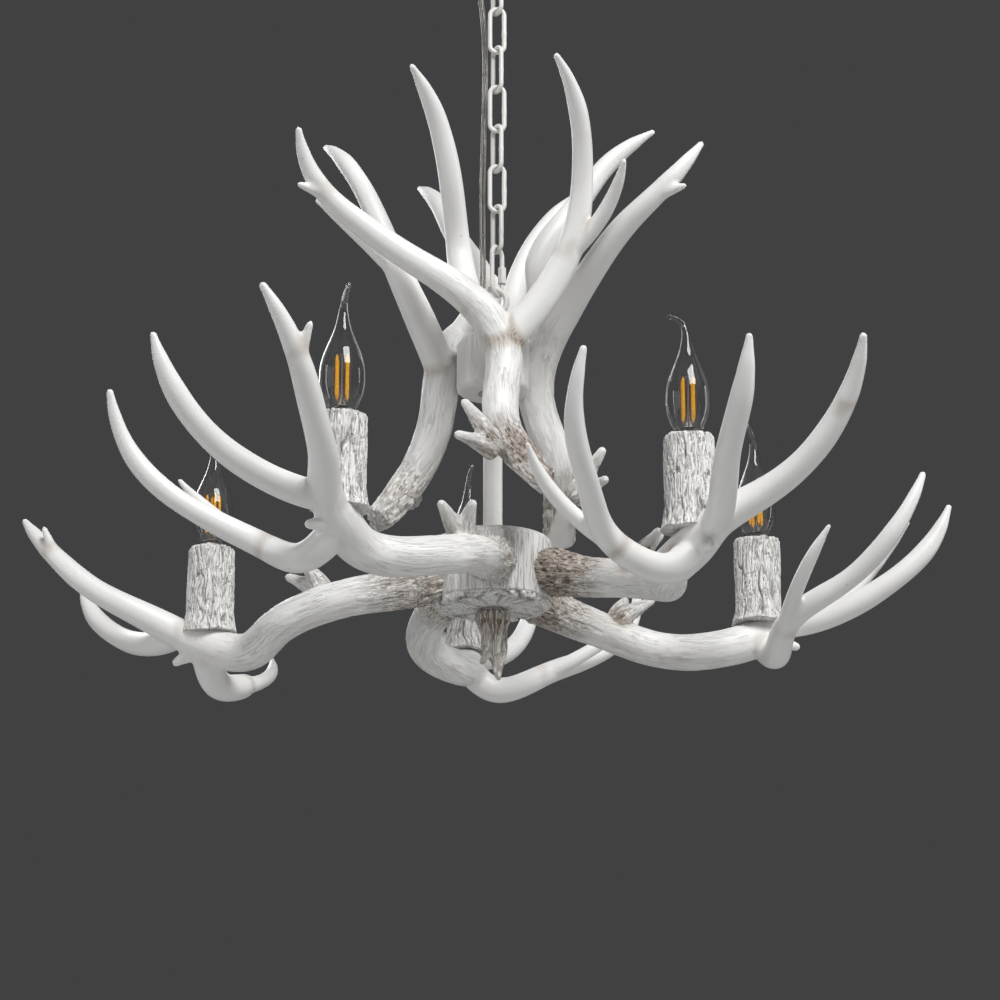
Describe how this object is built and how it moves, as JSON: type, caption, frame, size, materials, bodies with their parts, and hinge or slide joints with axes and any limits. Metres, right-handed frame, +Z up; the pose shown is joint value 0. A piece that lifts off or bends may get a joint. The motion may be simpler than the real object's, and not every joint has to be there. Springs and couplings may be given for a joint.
{
  "type": "antler chandelier",
  "caption": "Hanging chandelier of white cast antlers round two hubs, with candle sleeves and bent-tip bulbs, on a link chain under a ceiling cup.",
  "frame": {"origin": "middle of the ceiling crossbar's two slots, in the ceiling plane", "axes": "+Z up to the ceiling, -Y toward the pictured front, +X to the picture's right"},
  "size_m": [0.8005, 0.7774, 0.6946],
  "materials": {
    "resin": "smooth cast resin, satin white, faint brown in the grooves",
    "bark_resin": "cast resin with bark relief, greyed white",
    "hub_resin": "cast resin with upright grain, matt white",
    "stained_resin": "grooved cast resin, brown stain under white",
    "white_metal": "off-white enamel",
    "steel": "zinc plated steel",
    "white_plastic": "moulded plastic",
    "clear_cable": "clear sheath over pale conductors",
    "nickel": "nickel plated screw cap",
    "clear_glass": "clear blown glass",
    "filament": "yellow lamp filament"
  },
  "bodies": {
    "ceiling": {"canopy": "white_metal", "crossbar": "steel", "hook": "white_metal", "hook_collar": "white_metal", "hook_nut": "steel", "cable_grip": "white_plastic", "cable": "clear_cable"},
    "link_7": {"link_7": "white_metal"},
    "link_6": {"link_6": "white_metal"},
    "link_5": {"link_5": "white_metal"},
    "link_4": {"link_4": "white_metal"},
    "link_3": {"link_3": "white_metal"},
    "link_2": {"link_2": "white_metal"},
    "link_1": {"link_1": "white_metal"},
    "quick_link": {"quick_link": "white_metal"},
    "quick_nut": {"quick_nut": "white_metal"},
    "fixture": {"hub_low": "hub_resin", "hub_cover": "hub_resin", "finial": "stained_resin", "rod": "white_metal", "rod_nuts": "steel", "hub_top": "hub_resin", "loop": "white_metal", "screws_low": "steel", "studs_top": "steel", "terminal_block": "white_plastic", "cable_bushing": "white_plastic", "antler_low_1": "resin", "antler_low_2": "resin", "antler_low_3": "resin", "antler_low_4": "resin", "antler_low_5": "resin", "antler_top_1": "resin", "antler_top_2": "resin", "antler_top_3": "resin", "sleeve_1": "bark_resin", "sleeve_2": "bark_resin", "sleeve_3": "bark_resin", "sleeve_4": "bark_resin", "sleeve_5": "bark_resin", "lampholder_1": "white_plastic", "lampholder_2": "white_plastic", "lampholder_3": "white_plastic", "lampholder_4": "white_plastic", "lampholder_5": "white_plastic"},
    "bulb_1": {"bulb_cap_1": "nickel", "bulb_glass_1": "clear_glass", "bulb_filament_1": "filament"},
    "bulb_2": {"bulb_cap_2": "nickel", "bulb_glass_2": "clear_glass", "bulb_filament_2": "filament"},
    "bulb_3": {"bulb_cap_3": "nickel", "bulb_glass_3": "clear_glass", "bulb_filament_3": "filament"},
    "bulb_4": {"bulb_cap_4": "nickel", "bulb_glass_4": "clear_glass", "bulb_filament_4": "filament"},
    "bulb_5": {"bulb_cap_5": "nickel", "bulb_glass_5": "clear_glass", "bulb_filament_5": "filament"}
  },
  "joints": [
    {"name": "link_7_swing", "type": "hinge", "parent": "ceiling", "child": "link_7", "pos_m": [0, 0, -0.05455], "axis": [0.8192, 0.5736, 0], "range_deg": [-10, 10], "deforming": ["cable"]},
    {"name": "link_6_swing", "type": "hinge", "parent": "link_7", "child": "link_6", "pos_m": [0, 0, -0.09165], "axis": [0.5736, -0.8192, 0], "range_deg": [-10, 10]},
    {"name": "link_5_swing", "type": "hinge", "parent": "link_6", "child": "link_5", "pos_m": [0, 0, -0.12925], "axis": [0.9962, 0.0872, 0], "range_deg": [-10, 10]},
    {"name": "link_4_swing", "type": "hinge", "parent": "link_5", "child": "link_4", "pos_m": [0, 0, -0.16685], "axis": [0.5736, -0.8192, 0], "range_deg": [-10, 10]},
    {"name": "link_3_swing", "type": "hinge", "parent": "link_4", "child": "link_3", "pos_m": [0, 0, -0.20445], "axis": [0.9962, 0.0872, 0], "range_deg": [-10, 10]},
    {"name": "link_2_swing", "type": "hinge", "parent": "link_3", "child": "link_2", "pos_m": [0, 0, -0.24205], "axis": [0.5736, -0.8192, 0], "range_deg": [-10, 10]},
    {"name": "link_1_swing", "type": "hinge", "parent": "link_2", "child": "link_1", "pos_m": [0, 0, -0.27965], "axis": [0.9962, 0.0872, 0], "range_deg": [-10, 10]},
    {"name": "quick_link_swing", "type": "hinge", "parent": "link_1", "child": "quick_link", "pos_m": [0, 0, -0.31725], "axis": [0.5736, -0.8192, 0], "range_deg": [-10, 10]},
    {"name": "quick_nut_travel", "type": "slide", "parent": "quick_link", "child": "quick_nut", "axis": [0, 0, 1], "range_m": [0, 0.006]},
    {"name": "fixture_swing", "type": "hinge", "parent": "quick_link", "child": "fixture", "pos_m": [0, 0, -0.35685], "axis": [0.5299, 0.848, 0], "range_deg": [-10, 10]},
    {"name": "bulb_1_turn", "type": "hinge", "parent": "fixture", "child": "bulb_1", "pos_m": [-0.11648, -0.21781, -0.53437], "axis": [0, 0, 1], "range_deg": [0, 1080]},
    {"name": "bulb_2_turn", "type": "hinge", "parent": "fixture", "child": "bulb_2", "pos_m": [0.14597, -0.19096, -0.54305], "axis": [0, 0, 1], "range_deg": [0, 1080]},
    {"name": "bulb_3_turn", "type": "hinge", "parent": "fixture", "child": "bulb_3", "pos_m": [0.22307, 0.07873, -0.54922], "axis": [0, 0, 1], "range_deg": [0, 1080]},
    {"name": "bulb_4_turn", "type": "hinge", "parent": "fixture", "child": "bulb_4", "pos_m": [-0.02675, 0.24143, -0.53578], "axis": [0, 0, 1], "range_deg": [0, 1080]},
    {"name": "bulb_5_turn", "type": "hinge", "parent": "fixture", "child": "bulb_5", "pos_m": [-0.24134, 0.04721, -0.56505], "axis": [0, 0, 1], "range_deg": [0, 1080]}
  ]
}
